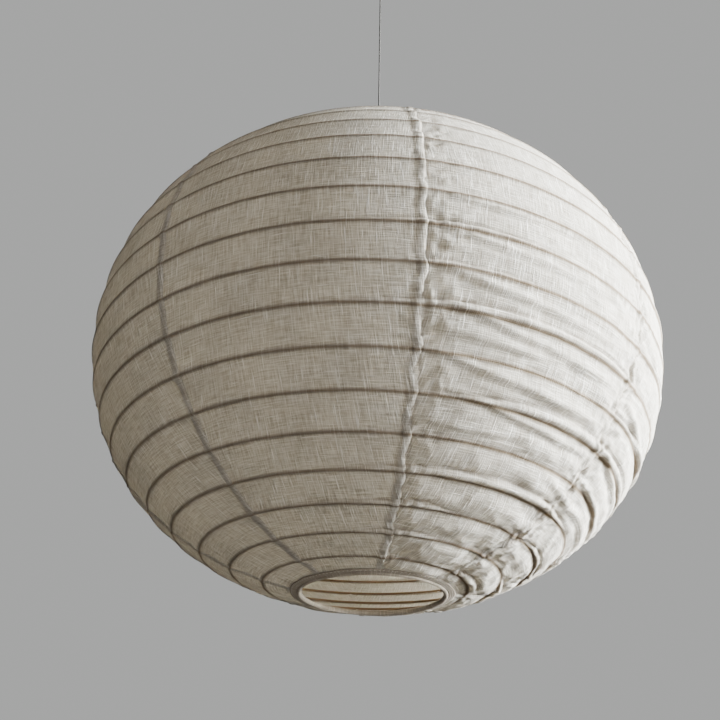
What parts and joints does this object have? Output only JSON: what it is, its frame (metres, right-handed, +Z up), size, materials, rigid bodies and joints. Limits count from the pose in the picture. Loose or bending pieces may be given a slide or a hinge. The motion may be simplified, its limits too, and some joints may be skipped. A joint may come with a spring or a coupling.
{
  "type": "cloth accordion lantern",
  "caption": "Round hanging lantern of sewn cloth gores over one spiral cane rib, open below, that folds flat and hangs on a line from a ceiling hook.",
  "frame": {"origin": "middle of the ceiling plate's top face, which lies against the ceiling", "axes": "+Z up, out of the plate's top face; -Y is the front, from which one seam stands a little right of the middle"},
  "size_m": [0.5989, 0.599, 1.011],
  "materials": {
    "linen": "open plain weave with slubs, matt, lets light through",
    "linen_hem": "the same cloth folded double",
    "cane": "split cane, brown, slightly waxed",
    "spring_steel": "dull drawn wire",
    "zinc": "bright zinc plate",
    "cord": "tight dark braid",
    "white_paint": "satin white powder coat"
  },
  "bodies": {
    "ceiling": {"ceiling_plate": "white_paint", "ceiling_hook": "zinc", "plate_screw_left": "zinc", "plate_screw_right": "zinc"},
    "line": {"upper_eye": "zinc", "suspension_line": "cord"},
    "swivel": {"lower_eye": "zinc", "s_hook": "zinc"},
    "shade": {"hanger_bar": "zinc", "top_ring": "spring_steel", "top_binding": "linen_hem", "spiral_rib": "cane", "gore_1": "linen", "gore_2": "linen", "gore_3": "linen", "gore_4": "linen", "gore_5": "linen", "gore_6": "linen", "gore_7": "linen", "gore_8": "linen"},
    "rim": {"bottom_ring": "spring_steel", "bottom_binding": "linen_hem"}
  },
  "joints": [
    {"name": "line_swing", "type": "hinge", "parent": "ceiling", "child": "line", "pos_m": [0, 0, -0.03337], "axis": [0, 1, 0], "range_deg": [-25, 25]},
    {"name": "line_twist", "type": "hinge", "parent": "line", "child": "swivel", "pos_m": [0, 0, -0.44682], "axis": [0, 0, 1], "range_deg": [-180, 180]},
    {"name": "shade_tilt", "type": "hinge", "parent": "swivel", "child": "shade", "pos_m": [0, 0, -0.46952], "axis": [1, 0, 0], "range_deg": [-15, 15]},
    {"name": "fold", "type": "slide", "parent": "shade", "child": "rim", "axis": [0, 0, 1], "range_m": [0, 0.44], "deforming": ["gore_1", "gore_2", "gore_3", "gore_4", "gore_5", "gore_6", "gore_7", "gore_8", "spiral_rib"]}
  ]
}
